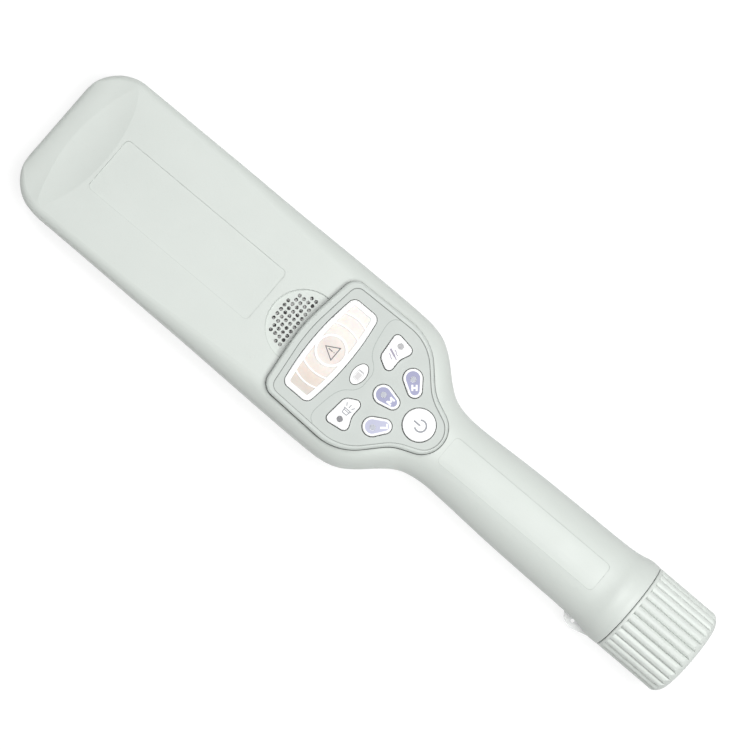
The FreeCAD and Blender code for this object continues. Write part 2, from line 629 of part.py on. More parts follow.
def electronics():
    deck = size("board_base") + size("board_thick")
    outline = raised("board_blank", widened("board_edge", panel_outline, "-board_inset"), "board_base",
                     "board_base + board_thick")
    front = block("board_front_cut", "40", "90", "10", size("board_front") + 20, 0, size("board_base") - 2)
    drill = [cylinder("board_hole_%d" % n, "1.2", "10", x, y, size("board_base") - 2)
             for n, (x, y) in enumerate(BOARD_SCREWS)]
    board = minus("main_board", outline, joined("board_cuts", [front] + drill))
    screws = grouped("board_screws", [
        joined("board_screw_%d" % n, [cylinder("board_shank_%d" % n, "0.95", "6", x, y, deck - 6),
                                      cylinder("board_head_%d" % n, "2.0", "1.3", x, y, deck)])
        for n, (x, y) in enumerate(BOARD_SCREWS)])
    switches = grouped("tact_switches", [
        joined("switch_" + name, [
            block("switch_box_" + name, "switch_side", "switch_side", "switch_height", x, y, deck),
            cylinder("switch_plunger_" + name, "1.6", "plunger_height", x, y, deck + size("switch_height"))])
        for name, (_, (x, y), _) in KEYS.items()])
    dial = size("dial_x")
    lamps = [block("lamp_%d" % n, "3.2", "1.6", "led_height", dial, y, deck)
             for n, y in enumerate((-22.3, -16.6, -10.2, 0, 10.2, 16.6, 22.3))]
    leds = grouped("display_leds", lamps)
    parts = [
        block("controller_chip", "7", "7", "1.0", -22.5, 6.6, deck),
        block("driver_chip", "5", "4", "1.0", 8.5, -4.8, deck),
        cylinder("capacitor", "2.5", "5.2", 9.5, 5.5, deck),
        block("coil_socket", "6", "4", "3.4", 33.0, 18.0, size("board_base") - 3.4),
        block("battery_socket", "4", "7", "3.4", -34.0, 0, size("board_base") - 3.4),
        block("motor_socket", "4", "5", "3.0", -22.0, -8.5, size("board_base") - 3.0),
    ]
    components = grouped("board_components", parts)

    x, base = size("speaker_x"), size("speaker_base")
    basket = minus("speaker_frame", cylinder("basket_blank", "speaker_radius", "speaker_top - speaker_base",
                                             x, 0, base),
                   joined("basket_space", [
                       cylinder("basket_inside", "speaker_radius - 1", "10", x, 0, base + 1),
                       cylinder("basket_floor_hole", "magnet_radius - 2", "10", x, 0, base - 5)]))
    magnet = cylinder("speaker_magnet", "magnet_radius", "magnet_height", x, 0, base - size("magnet_height"))
    rise = size("speaker_top") - base - 1.6
    cone_outer = doc.addObject("Part::Cone", "cone_outer")
    cone_inner = doc.addObject("Part::Cone", "cone_inner")
    for cone, lift in ((cone_outer, 0.0), (cone_inner, 0.5)):
        bind(cone, Radius1="3.6", Radius2="speaker_radius - 1.2", Height=repr(rise - 0.6))
        place(cone, x, 0, base + 1.4 + lift)
    cone = minus("speaker_cone", cone_outer, cone_inner)
    return [board, screws, switches, leds, components, basket, magnet, cone]


# ---------------------------------------------------------------- search coils

def coils():
    """A flat former in the paddle with a transmit winding outside and a receive winding inside."""
    outside = drawing("former_outside", round_box(76, 188.6, 35.2, 13))
    inside = drawing("former_inside", round_box(95, 172, 17.5, 6))
    blank = raised("former_blank", outside, "former_base", "former_top")
    middle = raised("former_middle", inside, "former_base", "former_top")
    transmit = minus("transmit_coil", raised("transmit_outer", outside, "coil_base", "coil_top"),
                     raised("transmit_inner", widened("transmit_line", outside, "-coil_depth"),
                            "coil_base", "coil_top"))
    receive = minus("receive_coil", raised("receive_outer", widened("receive_line", inside, "coil_depth"),
                                           "coil_base", "coil_top"),
                    raised("receive_inner", inside, "coil_base", "coil_top"))
    former = minus("coil_former", blank, joined("former_cuts", [middle, transmit, receive]))
    return [former, transmit, receive]


def wire(name, points, radius, bend):
    """A round wire through the points: straight runs joined by tangent arcs."""
    points = [Vector(*point) for point in points]
    edges = []
    start = points[0]
    for before, corner, after in zip(points, points[1:], points[2:]):
        back, ahead = (before - corner).normalize(), (after - corner).normalize()
        half_turn = (math.pi - back.getAngle(ahead)) / 2
        reach = bend * math.tan(half_turn)
        entry, leave = corner + back * reach, corner + ahead * reach
        inward = (back + ahead).normalize()
        crown = corner + inward * (bend / math.cos(half_turn) - bend)
        edges += [Part.LineSegment(start, entry).toShape(), Part.Arc(entry, crown, leave).toShape()]
        start = leave
    edges.append(Part.LineSegment(start, points[-1]).toShape())
    path = Part.Wire(edges)
    first = points[1] - points[0]
    section = Part.Wire(Part.makeCircle(radius, points[0], first))
    return computed(name, path.makePipeShell([section], True, False))


def wiring():
    """Pairs of insulated wires between the boards, the coils, the motor and the speaker."""
    under = size("board_base") - 3.4
    coil = grouped("coil_leads", [
        wire("coil_lead_%d" % n, [(33 + n, 18, under), (33 + n, 18, 18), (52, 24 + 1.5 * n, 18),
                                  (70, 24 + 1.5 * n, 12.2), (76, 24 + 1.5 * n, 12.2)], 0.5, 2.5)
        for n in range(2)])
    battery = grouped("battery_leads", [
        wire("battery_lead_%d" % n, [(-34, side * 1.5, under), (-34, side * 1.5, 15.5),
                                     (-52, side * 8, 15.5), (-92, side * 9.5, 15.5),
                                     (-109.4, side * 9.5, 15.5)], 0.6, 3.0)
        for n, side in enumerate((-1, 1))])
    # The motor's leads pass beside the case screw's post and enter the can's side behind the weight.
    motor = grouped("motor_leads", [
        wire("motor_lead_%d" % n, [(-22, -8.5 + side, size("board_base") - 3), (-22, -8.5 + side, 21),
                                   (-50, -10 + side, 23), (entry, -10 + side, 23), (entry, -5.0, 23)],
             0.45, 2.5)
        for n, (side, entry) in enumerate(((-0.8, -90.6), (0.8, -89.0)))])
    speaker = grouped("speaker_leads", [
        wire("speaker_lead_%d" % n, [(30, -8 + side, size("board_base")), (30, -8 + side, 25.2),
                                     (36, -6 + side, 25.2), (38.6, -6 + side, 25.2)], 0.45, 1.2)
        for n, side in enumerate((-0.8, 0.8))])
    return [coil, battery, motor, speaker]


def vibration_drive():
    """A small motor in the grip with an eccentric weight on its shaft."""
    x, z = -96.0, 22.0
    can = cylinder("motor_can", "5", "12", x, 0, z, TO_X)
    shaft = cylinder("motor_shaft", "0.8", "8", x + 12, 0, z, TO_X)
    motor = joined("vibration_motor", [can, shaft])
    saddle_block = block("saddle_block", "8", "14", "12.6", x + 6, 0, 8.6)
    saddle = minus("motor_bracket", shared("saddle_fit", saddle_block, inner_form),
                   cylinder("saddle_bore", "5", "30", x - 10, 0, z, TO_X))
    weight_disc = cylinder("weight_disc", "5.4", "5", x + 13.5, 0, z, TO_X)
    upper_half = block("weight_half", "20", "20", "10", x + 16, 0, z + 1.2)
    weight = minus("vibration_weight", weight_disc, joined("weight_cuts", [
        upper_half, cylinder("weight_bore", "0.85", "20", x, 0, z, TO_X)]))
    return [motor, saddle, weight]


# ---------------------------------------------------------------- batteries and cap

def thread(name, radius, depth, start, turns):
    """A trapezoid ridge wound round the cap's axis; a negative depth points inward."""
    pitch = size("thread_pitch")
    root, crest = size("thread_root_width") / 2, size("thread_crest_width") / 2
    sink = -0.15 if depth > 0 else 0.15
    path = Part.makeHelix(pitch, pitch * turns, radius)
    profile = Part.makePolygon([Vector(radius + sink, 0, -root), Vector(radius + depth, 0, -crest),
                                Vector(radius + depth, 0, crest), Vector(radius + sink, 0, root),
                                Vector(radius + sink, 0, -root)])
    ridge = Part.Wire(path.Edges).makePipeShell([profile], True, True)
    return computed(name, ridge, Placement(Vector(start, 0, size("axis_height")), TO_MINUS_X))


def battery_case():
    axis = size("axis_height")
    front = size("tube_front")
    neck_back = size("neck_end")
    collar = size("collar_face")

    def along(name, radius, near, far):
        """A cylinder on the grip's axis between two stations along X."""
        return cylinder(name, radius, repr(round(near - far, 4)), near, 0, axis, TO_MINUS_X)

    outside = joined("tube_outside", [
        along("tube_body", "tube_radius", front, collar),
        along("tube_flange", "flange_radius", collar + 5.2, collar + 2.5),
        along("tube_neck", "neck_radius", collar + 4, neck_back),
        thread("neck_thread", size("neck_radius"), size("thread_depth"), -169.6, 2.0)])
    inside = joined("tube_inside", [
        along("tube_bore_space", "tube_bore", front - 1.2, neck_back - 1),
        along("tube_front_hole", "tube_bore - 1.4", front + 1, front - 2)])
    tube = minus("battery_tube", outside, inside)
    contact = along("contact_board", "tube_bore - 0.1", front - 1.2, front - 2.8)
    springs = []
    for side in (-1, 1):
        path = Part.makeHelix(0.9, 2.2, 2.6)
        section = Part.Wire(Part.makeCircle(0.3, Vector(2.6, 0, 0), Vector(0, 1, 0)))
        coil = Part.Wire(path.Edges).makePipeShell([section], True, False)
        springs.append(computed("contact_spring_%s" % ("right" if side > 0 else "left"), coil, Placement(
            Vector(front - 3.1, side * size("cell_offset"), axis), TO_MINUS_X)))
    cells = []
    for name, side in (("cell_left", -1), ("cell_right", 1)):
        shift = 0.0 if side < 0 else size("nub_length")
        start = size("cell_front") - shift - 0.6
        body = cylinder(name + "_can", "cell_radius", "cell_length", start, side * size("cell_offset"), axis,
                        TO_MINUS_X)
        nub_at = start - size("cell_length") if side < 0 else start + size("nub_length")
        nub = cylinder(name + "_nub", "nub_radius", "nub_length", nub_at, side * size("cell_offset"), axis,
                       TO_MINUS_X)
        cells.append(joined(name, [body, nub]))
    seal = ring("cap_seal", "seal_outer", "seal_inner", "seal_thick", collar + size("seal_sunk"), 0, axis,
                TO_MINUS_X)
    return [tube, contact, grouped("contact_springs", springs)] + cells + [seal]


def cap_outline_half():
    """The cap's profile from the front face to the domed end, in the X and radius plane."""
    face, end, reach = size("cap_face"), -size("half_length"), size("cap_radius")
    edge, dome = size("cap_edge"), size("cap_dome")
    shoulder = end + dome + 0.2
    round_start = Vector(end + edge, 0, reach)
    round_middle = Vector(shoulder + edge * 0.12, 0, reach - edge * 0.36)
    round_end = Vector(shoulder - 0.6, 0, reach - edge * 0.75)
    # The dome is part of a ball centred on the axis.
    rise = round_end.x - end
    ball = (round_end.z ** 2 + rise ** 2) / (2 * rise)
    half_angle = math.asin(round_end.z / ball) / 2
    crown = Vector(end + ball * (1 - math.cos(half_angle)), 0, ball * math.sin(half_angle))
    curves = [Part.LineSegment(Vector(face, 0, 0), Vector(face, 0, reach - 0.5)),
              Part.LineSegment(Vector(face, 0, reach - 0.5), Vector(face - 0.5, 0, reach)),
              Part.LineSegment(Vector(face - 0.5, 0, reach), round_start),
              Part.Arc(round_start, round_middle, round_end),
              Part.Arc(round_end, crown, Vector(end, 0, 0)),
              Part.LineSegment(Vector(end, 0, 0), Vector(face, 0, 0))]
    return curves


def end_cap():
    """A fluted screw cap turning on the carrier, which holds the contact plate against the cells."""
    axis = size("axis_height")
    face, end = size("cap_face"), -size("half_length")
    profile = Part.Face(Part.Wire([curve.toShape() for curve in cap_outline_half()]))
    solid = computed("cap_profile", profile.revolve(Vector(0, 0, 0), Vector(1, 0, 0), 360),
                     Placement(Vector(0, 0, axis), Rotation()))
    ribs = int(size("cap_ribs"))
    step = 360.0 / ribs
    centre, radius = size("rib_centre"), size("rib_radius")
    # Neighbouring ribs meet where their circles cross, half a step round from each rib's middle.
    half_step = math.radians(step / 2)
    crossing = centre * math.cos(half_step) + math.sqrt(radius ** 2 - (centre * math.sin(half_step)) ** 2)
    reach = math.degrees(math.atan2(crossing * math.sin(half_step), crossing * math.cos(half_step) - centre))
    curves = []
    for number in range(ribs):
        turn = number * step
        middle = polar(0, 0, centre, turn)
        curves.append(arc(middle.x, middle.y, radius, turn - reach, turn + reach))
    scallop = drawing("rib_outline", curves)
    prism = doc.addObject("Part::Extrusion", "rib_prism")
    prism.Base = scallop
    prism.DirMode = "Custom"
    prism.Dir = Vector(0, 0, 1)
    prism.Solid = True
    bind(prism, LengthFwd="half_length + cap_face + 1")
    place(prism, face, 0, axis, TO_MINUS_X)
    band = cylinder("cap_band", "cap_radius + 1", "cap_band", face, 0, axis, TO_MINUS_X)
    shell = shared("cap_outside", solid, joined("cap_ribbed", [prism, band]))
    hollow = cylinder("cap_hollow", "cap_bore", repr(end * -1 + face - size("cap_end_wall")), face, 0, axis,
                      TO_MINUS_X)
    hub_start = face - 12
    hub_end = end + size("cap_end_wall") - 1
    hub = minus("cap_hub", cylinder("hub_outside", "hub_radius + 3.4", repr(hub_start - hub_end), hub_start,
                                    0, axis, TO_MINUS_X),
                joined("hub_bore", [
                    cylinder("hub_running_bore", "hub_radius + hub_clearance", "30", hub_start + 10, 0, axis,
                             TO_MINUS_X),
                    cylinder("hub_counterbore", "hub_radius + 1.3", "18.5", hub_start - 8, 0, axis,
                             TO_MINUS_X)]))
    ridge = thread("cap_thread", size("cap_bore"), -size("thread_depth"), -171.6, 1.5)
    cap = joined("end_cap", [minus("cap_shell", shell, hollow), hub, ridge])
    carrier = joined("cap_carrier", [
        cylinder("carrier_plate", "14.5", "3", -168.1, 0, axis, TO_MINUS_X),
        cylinder("carrier_stud", "hub_radius", "20", -170, 0, axis, TO_MINUS_X),
        cylinder("carrier_rim", "hub_radius + 0.9", "2.4", hub_start - 8.6, 0, axis, TO_MINUS_X)])
    bumps = [cylinder("contact_bump_" + name, "2.2", "0.5", -167.1, side * size("cell_offset"), axis,
                      TO_MINUS_X) for name, side in (("left", -1), ("right", 1))]
    plate = cylinder("contact_plate", "13.2", "0.6", -167.5, 0, axis, TO_MINUS_X)
    contact = joined("cap_contact", [plate] + bumps)
    return [cap, carrier, contact]


# ---------------------------------------------------------------- screws and strap eyelet

def case_screws():
    screws = []
    for number, (x, y, z, length) in enumerate(SCREW_PLACES):
        screws.append(joined("case_screw_%d" % number, [
            cylinder("screw_head_%d" % number, "head_radius", "head_height", x, y,
                     z - size("head_height")),
            cylinder("screw_shank_%d" % number, "screw_radius", repr(length - 3), x, y, z)]))
    return grouped("case_screws", screws)


def eyelet():
    blank = raised("eyelet_blank", eyelet_outline, "eyelet_base", "eyelet_top")
    return minus("strap_eyelet", blank, cylinder("eyelet_bore", "eyelet_hole", "20", size("eyelet_x"),
                                                 size("eyelet_y"), 5))


# ---------------------------------------------------------------- build and write

nodes = list(shells()) + [dust_screen(), gasket()] + list(light_bar()) + keypad() + electronics()
nodes += coils() + wiring() + vibration_drive() + battery_case() + end_cap() + [case_screws(), eyelet()]
doc.recompute()

failed = [item.Name for item in doc.Objects if {"Invalid", "Error"} & set(item.State)]
if failed:
    raise SystemExit("failed objects: " + ", ".join(failed))
for node in nodes:
    if node.Shape.isNull() or not node.Shape.isValid() or node.Shape.Volume <= 0:
        raise SystemExit("bad shape: " + node.Label)
for node in nodes:
    node.Shape.exportStep("parts/%s.step" % node.Label)
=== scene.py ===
import json
import math

import bmesh
import bpy
from mathutils import Matrix, Vector


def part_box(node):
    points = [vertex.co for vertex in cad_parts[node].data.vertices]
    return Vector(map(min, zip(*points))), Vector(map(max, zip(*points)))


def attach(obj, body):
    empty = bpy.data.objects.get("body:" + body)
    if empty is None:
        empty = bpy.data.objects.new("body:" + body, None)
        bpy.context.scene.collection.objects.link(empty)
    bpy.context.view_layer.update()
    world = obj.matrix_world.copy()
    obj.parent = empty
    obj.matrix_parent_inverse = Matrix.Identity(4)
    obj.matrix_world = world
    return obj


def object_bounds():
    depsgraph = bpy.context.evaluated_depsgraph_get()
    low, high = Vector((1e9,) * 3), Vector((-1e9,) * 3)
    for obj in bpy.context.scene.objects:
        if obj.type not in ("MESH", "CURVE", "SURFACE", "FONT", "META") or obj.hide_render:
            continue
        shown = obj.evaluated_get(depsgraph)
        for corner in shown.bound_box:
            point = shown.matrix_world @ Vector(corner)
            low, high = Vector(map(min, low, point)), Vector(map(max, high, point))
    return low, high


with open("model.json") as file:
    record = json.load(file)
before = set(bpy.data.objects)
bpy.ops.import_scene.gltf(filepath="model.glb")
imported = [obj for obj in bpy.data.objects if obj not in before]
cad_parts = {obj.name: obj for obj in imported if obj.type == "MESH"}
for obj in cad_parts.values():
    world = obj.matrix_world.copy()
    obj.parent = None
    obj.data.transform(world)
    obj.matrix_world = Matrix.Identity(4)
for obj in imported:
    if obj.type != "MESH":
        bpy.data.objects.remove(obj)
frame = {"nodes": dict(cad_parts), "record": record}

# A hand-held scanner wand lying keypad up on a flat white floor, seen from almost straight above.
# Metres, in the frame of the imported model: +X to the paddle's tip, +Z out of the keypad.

cad_low, cad_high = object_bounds()
MM = 0.001


def top_of(node):
    """The height of a node's top face."""
    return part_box(node)[1][2]


def centre_of(node):
    low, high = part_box(node)
    return (Vector(low) + Vector(high)) / 2


# ---------------------------------------------------------------- materials

# The near-black of painted shade, on the walls of gaps and in crevices.
SHADE_BLACK = (0.03, 0.035, 0.032)


class Recipe:
    """A node material in the making: its shader, and the object coordinates that feed every texture."""

    def __init__(self, name):
        self.material = bpy.data.materials.new(name)
        self.material.use_nodes = True
        tree = self.material.node_tree
        self.nodes, self.links = tree.nodes, tree.links
        self.shader = self.nodes["Principled BSDF"]
        self.place = self.nodes.new("ShaderNodeTexCoord").outputs["Object"]

    def noise(self, size, detail=3.0):
        """Cloudy noise whose features are about size metres across."""
        node = self.nodes.new("ShaderNodeTexNoise")
        node.inputs["Scale"].default_value = 1.0 / size
        node.inputs["Detail"].default_value = detail
        node.inputs["Roughness"].default_value = 0.55
        self.links.new(self.place, node.inputs["Vector"])
        return node.outputs["Fac"]

    def cells(self, size):
        """Rounded cells about size metres across, for moulded spark texture."""
        node = self.nodes.new("ShaderNodeTexVoronoi")
        node.feature = "SMOOTH_F1"
        node.inputs["Scale"].default_value = 1.0 / size
        self.links.new(self.place, node.inputs["Vector"])
        return node.outputs["Distance"]

    def remap(self, value, low, high, to_low, to_high):
        """A value's range from low to high stretched onto another range, and held at its ends."""
        node = self.nodes.new("ShaderNodeMapRange")
        self.links.new(value, node.inputs["Value"])
        limits = {"From Min": low, "From Max": high, "To Min": to_low, "To Max": to_high}
        for socket, limit in limits.items():
            node.inputs[socket].default_value = limit
        return node.outputs["Result"]

    def maths(self, operation, first, second):
        node = self.nodes.new("ShaderNodeMath")
        node.operation = operation
        for socket, value in zip(node.inputs, (first, second)):
            if isinstance(value, (int, float)):
                socket.default_value = value
            else:
                self.links.new(value, socket)
        return node.outputs["Value"]

    def blend(self, factor, first, second):
        """Colour mixed from first to second by the factor."""
        node = self.nodes.new("ShaderNodeMix")
        node.data_type = "RGBA"
        self.links.new(factor, node.inputs["Factor"])
        colour_sockets = node.inputs[6], node.inputs[7]
        for socket, colour in zip(colour_sockets, (first, second)):
            if isinstance(colour, tuple):
                socket.default_value = (*colour, 1.0)
            else:
                self.links.new(colour, socket)
        return node.outputs[2]

    def worn_edges(self, radius):
        """Near 1 along sharp edges, 0 on open faces: how far a rounded normal leans from the true one."""
        bevel = self.nodes.new("ShaderNodeBevel")
        bevel.samples = 4
        bevel.inputs["Radius"].default_value = radius
        geometry = self.nodes.new("ShaderNodeNewGeometry")
        dot = self.nodes.new("ShaderNodeVectorMath")
        dot.operation = "DOT_PRODUCT"
        self.links.new(bevel.outputs["Normal"], dot.inputs[0])
        self.links.new(geometry.outputs["Normal"], dot.inputs[1])
        return self.remap(dot.outputs["Value"], 0.98, 0.80, 0.0, 1.0)

    def crevices(self, reach):
        """Near 1 in narrow gaps and along the foot of steps, where shade falls, 0 in the open: a mask for
        painted shade.
        """
        shelter = self.nodes.new("ShaderNodeAmbientOcclusion")
        shelter.samples = 8
        shelter.inputs["Distance"].default_value = reach
        return self.remap(shelter.outputs["AO"], 0.80, 0.45, 0.0, 1.0)

    def bump(self, height, distance):
        node = self.nodes.new("ShaderNodeBump")
        node.inputs["Strength"].default_value = 1.0
        node.inputs["Distance"].default_value = distance
        self.links.new(height, node.inputs["Height"])
        self.links.new(node.outputs["Normal"], self.shader.inputs["Normal"])

    def colour(self, value):
        self.links.new(value, self.shader.inputs["Base Color"])

    def roughness(self, value):
        self.links.new(value, self.shader.inputs["Roughness"])


def scaled(colour, amount):
    return tuple(min(channel * amount, 1.0) for channel in colour)


def moulded(name, colour, rough, grain=0.35 * MM, depth=0.02 * MM, mottle=0.04, wear=0.10, painted_shade=0.0):
    """Moulded plastic: cloudy shade, spark-eroded grain, uneven gloss, paler rubbed edges, and painted shade
    in its crevices.
    """
    made = Recipe(name)
    cloud = made.noise(28 * MM, 4.0)
    shade = made.blend(cloud, scaled(colour, 1.0 - mottle), scaled(colour, 1.0 + mottle))
    dust = made.remap(made.noise(1.1 * MM, 2.0), 0.62, 0.80, 0.0, 0.30)
    shade = made.blend(dust, shade, scaled(colour, 0.88))
    rubbed = made.maths("MULTIPLY", made.worn_edges(0.5 * MM),
                        made.remap(made.noise(5 * MM, 3.0), 0.40, 0.62, 0.25, 1.0))
    shade = made.blend(made.maths("MULTIPLY", rubbed, wear * 3), shade, scaled(colour, 1.0 + wear))
    # Painted shade in the crevices, blended toward near-black by the given amount.
    if painted_shade:
        crevice_shade = made.maths("MULTIPLY", made.crevices(1.1 * MM), painted_shade)
        shade = made.blend(crevice_shade, shade, SHADE_BLACK)
    made.colour(shade)
    gloss = made.remap(made.noise(16 * MM, 5.0), 0.3, 0.7, rough - 0.06, rough + 0.07)
    made.roughness(made.maths("SUBTRACT", gloss, made.maths("MULTIPLY", rubbed, 0.10)))
    made.bump(made.maths("ADD", made.cells(grain), made.noise(grain * 0.6, 2.0)), depth)
    made.shader.inputs["Specular IOR Level"].default_value = 0.45
    return made


def shadowed(made, height):
    """Paints shade near-black below a height: on the walls of gaps, and on all of the bezel's outer side."""
    split = made.nodes.new("ShaderNodeSeparateXYZ")
    made.links.new(made.place, split.inputs["Vector"])
    # How much painted shade: none at the height, full a quarter millimetre below it.
    buried = made.remap(split.outputs["Z"], height, height - 0.25 * MM, 0.0, 1.0)
    above = made.shader.inputs["Base Color"].links[0].from_socket
    made.colour(made.blend(buried, above, SHADE_BLACK))
    return made


def metal(name, colour, rough):
    """Bare or plated metal with a fine scuffed grain and a cloudy stain."""
    made = Recipe(name)
    scratch = 0.4 * MM
    made.shader.inputs["Metallic"].default_value = 1.0
    made.colour(made.blend(made.noise(3 * MM, 4.0), scaled(colour, 0.85), scaled(colour, 1.1)))
    made.roughness(made.remap(made.noise(scratch, 4.0), 0.3, 0.7, rough - 0.08, rough + 0.12))
    made.bump(made.noise(scratch, 3.0), 0.01 * MM)
    return made


def woven(name, colour):
    """A cloth screen of crossed threads; its near-black patches stand in for shadow in the holes."""
    made = Recipe(name)
    pitch = 0.55 * MM
    # A wave texture's phase, in radians, over one unit of length at a scale of 1.
    unit_phase = 20
    turn = made.nodes.new("ShaderNodeMapping")
    turn.inputs["Rotation"].default_value = (0, 0, math.radians(38))
    made.links.new(made.place, turn.inputs["Vector"])
    heights = []
    for direction in ("X", "Y"):
        threads = made.nodes.new("ShaderNodeTexWave")
        threads.bands_direction = direction
        threads.inputs["Scale"].default_value = math.tau / pitch / unit_phase
        threads.inputs["Distortion"].default_value = 0.0
        made.links.new(turn.outputs["Vector"], threads.inputs["Vector"])
        heights.append(threads.outputs["Fac"])
    weave = made.maths("MAXIMUM", *heights)
    gap = made.remap(weave, 0.25, 0.75, 0.0, 1.0)
    # Near-black patches of painted shadow on the cloth, standing in for the shade inside the holes.
    painted_shade = made.remap(made.noise(1.5 * MM, 2.0), 0.46, 0.54, 0.0, 1.0)
    cloth = made.blend(painted_shade, colour, scaled(colour, 0.06))
    made.colour(made.blend(gap, scaled(colour, 0.10), cloth))
    made.roughness(made.remap(made.noise(1.0 * MM), 0.3, 0.7, 0.55, 0.75))
    made.bump(weave, 0.05 * MM)
    return made


def clear_plastic(name, colour):
    """Half-clear moulded plastic with a faint flow haze."""
    made = Recipe(name)
    haze = made.noise(1.6 * MM, 3.0)
    made.colour(made.blend(haze, scaled(colour, 0.95), colour))
    made.roughness(made.remap(haze, 0.3, 0.7, 0.22, 0.34))
    made.bump(made.noise(0.8 * MM, 2.0), 0.002 * MM)
    made.shader.inputs["Alpha"].default_value = 0.50
    return made


def across(made, stops):
    """A colour that changes across the wand: stops of (y in metres, colour)."""
    split = made.nodes.new("ShaderNodeSeparateXYZ")
    made.links.new(made.place, split.inputs["Vector"])
    low, high = stops[0][0], stops[-1][0]
    ramp = made.nodes.new("ShaderNodeValToRGB")
    ramp.color_ramp.elements[0].color = (*stops[0][1], 1.0)
    ramp.color_ramp.elements[1].color = (*stops[-1][1], 1.0)
    for y, colour in stops[1:-1]:
        stop = ramp.color_ramp.elements.new((y - low) / (high - low))
        stop.color = (*colour, 1.0)
    made.links.new(made.remap(split.outputs["Y"], low, high, 0.0, 1.0), ramp.inputs["Fac"])
    return ramp.outputs["Color"]


def window(name, stops):
    """Tinted diffusing window film with a faint prismatic grain and a glossy face."""
    made = Recipe(name)
    base = across(made, stops)
    tint = made.nodes.new("ShaderNodeHueSaturation")
    made.links.new(base, tint.inputs["Color"])
    made.links.new(made.remap(made.noise(2.5 * MM, 4.0), 0.3, 0.7, 0.97, 1.03), tint.inputs["Value"])
    made.colour(tint.outputs["Color"])
    made.roughness(made.remap(made.noise(6 * MM, 3.0), 0.3, 0.7, 0.18, 0.30))
    made.bump(made.cells(0.5 * MM), 0.01 * MM)
    made.shader.inputs["Coat Weight"].default_value = 0.3
    made.shader.inputs["Coat Roughness"].default_value = 0.08
    made.shader.inputs["Subsurface Weight"].default_value = 0.15
    made.shader.inputs["Subsurface Scale"].default_value = 1.0 * MM
    return made


SHELL = (0.640, 0.680, 0.645)
WHITE = (0.90, 0.905, 0.905)
plate_face = top_of("keypad_plate")
half_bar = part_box("bar_windows")[1][1]
# Ivory at one end of the bar, then warmer and darker, with a paler stretch past the middle.
BAR_STOPS = [(half_bar * share, colour) for share, colour in (
    (-1.0, (0.80, 0.76, 0.73)),
    (-0.4, (0.80, 0.76, 0.71)),
    (0.0, (0.73, 0.66, 0.62)),
    (0.35, (0.78, 0.73, 0.68)),
    (0.65, (0.71, 0.62, 0.55)),
    (1.0, (0.62, 0.57, 0.52)),
)]

# The bezel, plate, white keys and battery window have painted shade, near-black below a height, from
# shadowed(); most plastics also have painted shade in their crevices.
MATERIALS = {
    "shell": moulded("shell", SHELL, 0.50, mottle=0.015, painted_shade=0.28),
    "cap": moulded("cap", (0.66, 0.70, 0.665), 0.50, mottle=0.015, painted_shade=0.30),
    "bezel": shadowed(moulded("bezel", (0.555, 0.595, 0.565), 0.46, grain=0.25 * MM, depth=0.01 * MM,
                              mottle=0.012, painted_shade=0.45), plate_face - 0.1 * MM),
    "plate": shadowed(moulded("plate", (0.525, 0.560, 0.535), 0.50, grain=0.22 * MM, depth=0.01 * MM,
                              mottle=0.015, painted_shade=0.85), plate_face - 0.1 * MM),
    "white_key": shadowed(moulded("white_key", WHITE, 0.30, grain=0.5 * MM, depth=0.006 * MM, mottle=0.01,
                                  wear=0.05), plate_face + 0.3 * MM),
    "bar_window": window("bar_window", BAR_STOPS),
    "warning_window": window("warning_window", BAR_STOPS),
    "battery_window": shadowed(moulded("battery_window", (0.86, 0.865, 0.86), 0.25, depth=0.005 * MM,
                                       mottle=0.02), plate_face),
    "guide": moulded("guide", (0.80, 0.80, 0.78), 0.45),
    "lamp_pale": moulded("lamp_pale", (0.38, 0.38, 0.39), 0.20, depth=0.004 * MM, mottle=0.08),
    "lamp_dark": moulded("lamp_dark", (0.20, 0.20, 0.215), 0.20, depth=0.004 * MM, mottle=0.10),
    "lamp_blue": moulded("lamp_blue", (0.42, 0.44, 0.50), 0.30, depth=0.004 * MM, mottle=0.08),
    "screen": woven("screen", (0.50, 0.50, 0.49)),
    "inlay": moulded("inlay", (0.320, 0.325, 0.490), 0.42, depth=0.006 * MM, mottle=0.07, wear=0.03),
    "inlay_pale": moulded("inlay_pale", (0.47, 0.48, 0.625), 0.42, depth=0.006 * MM, mottle=0.06, wear=0.03),
    "board": moulded("board", (0.02, 0.12, 0.05), 0.35, grain=0.6 * MM, mottle=0.12),
    "component": moulded("component", (0.025, 0.025, 0.028), 0.45, mottle=0.15),
    "led": moulded("led", (0.75, 0.73, 0.58), 0.20, depth=0.005 * MM),
    "screw_steel": metal("screw_steel", (0.56, 0.57, 0.58), 0.32),
    "speaker_metal": metal("speaker_metal", (0.10, 0.10, 0.11), 0.42),
    "magnet": metal("magnet", (0.36, 0.36, 0.37), 0.30),
    "cone": moulded("cone", (0.035, 0.035, 0.037), 0.60, grain=0.8 * MM, depth=0.05 * MM, mottle=0.20),
    "former": moulded("former", (0.05, 0.05, 0.055), 0.50),
    "copper": metal("copper", (0.62, 0.26, 0.11), 0.30),
    "wire": moulded("wire", (0.30, 0.03, 0.03), 0.45, mottle=0.10),
    "motor_metal": metal("motor_metal", (0.52, 0.52, 0.52), 0.28),
    "weight_metal": metal("weight_metal", (0.33, 0.32, 0.30), 0.48),
    "tube": moulded("tube", (0.055, 0.056, 0.06), 0.45, mottle=0.08),
    "spring_steel": metal("spring_steel", (0.66, 0.64, 0.60), 0.22),
    "cell": moulded("cell", (0.04, 0.07, 0.16), 0.28, depth=0.005 * MM, mottle=0.10),
    "gasket": moulded("gasket", (0.16, 0.17, 0.165), 0.62, mottle=0.10),
    "eyelet": clear_plastic("eyelet", (0.78, 0.80, 0.79)),
}

for part in frame["record"]["subparts"]:
    for slot in frame["nodes"][part["node"]].material_slots:
        slot.material = MATERIALS[part["material_slot"]].material


# ---------------------------------------------------------------- printed marks

